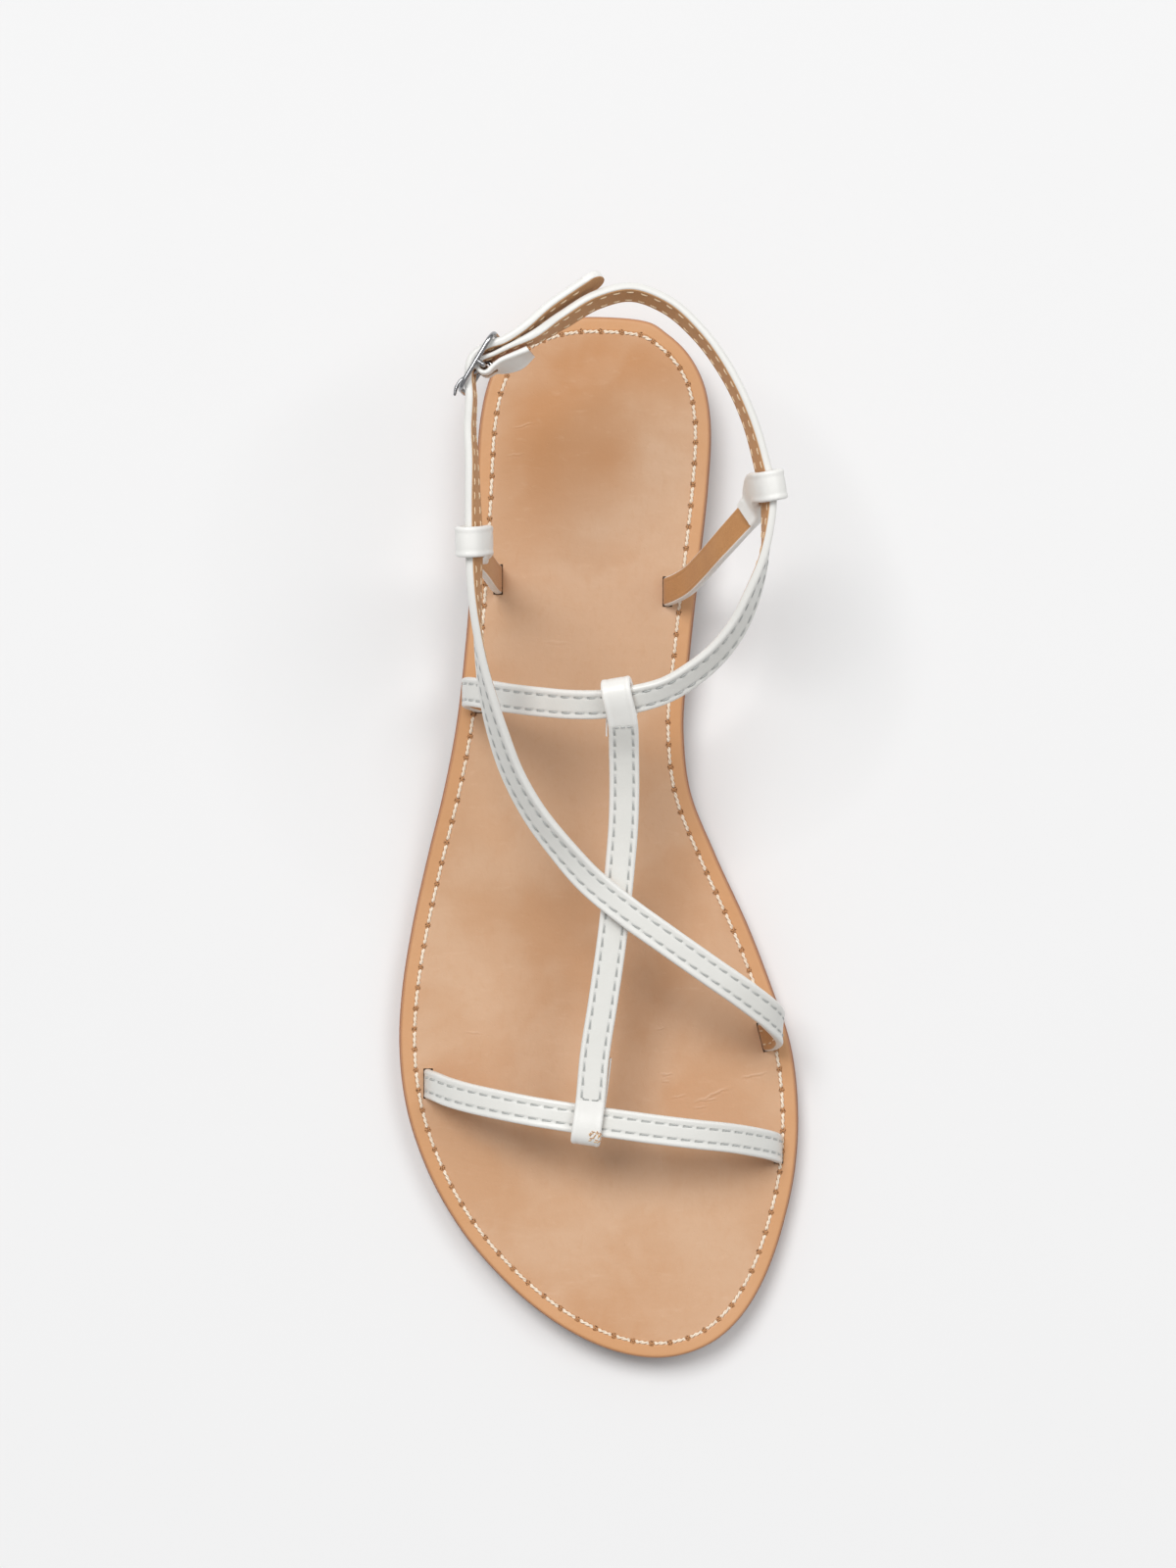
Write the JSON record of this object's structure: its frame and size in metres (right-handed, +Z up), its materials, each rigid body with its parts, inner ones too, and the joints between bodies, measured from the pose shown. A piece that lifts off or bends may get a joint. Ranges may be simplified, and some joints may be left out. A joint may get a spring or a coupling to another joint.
{
  "type": "cross strap sandal",
  "caption": "Flat open sandal: leather sole with a low heel, narrow straps crossing over the foot, and an ankle strap held by side tabs and a small pin buckle",
  "frame": {"origin": "on the floor under the middle of the shoe's bounding box", "axes": "+Y to the toe, +Z up, +X to the outer side of the right foot, where the buckle is"},
  "size_m": [0.0962, 0.255, 0.074],
  "materials": {
    "outsole_leather": "matt brown sole leather",
    "heel_leather": "matt dark brown stacked leather",
    "insole_leather": "smooth tan leather",
    "strap_leather": "smooth off-white leather with a soft shine",
    "buckle_metal": "polished plated metal"
  },
  "bodies": {
    "root": {"outsole": "outsole_leather", "heel": "heel_leather", "insole": "insole_leather", "upper_toe_strap": "strap_leather", "upper_centre_strap": "strap_leather", "upper_diagonal_strap": "strap_leather", "upper_instep_heel_strap": "strap_leather", "upper_medial_tab": "strap_leather", "upper_lateral_tab": "strap_leather", "buckle_frame": "buckle_metal", "buckle_prong": "buckle_metal"}
  },
  "joints": []
}
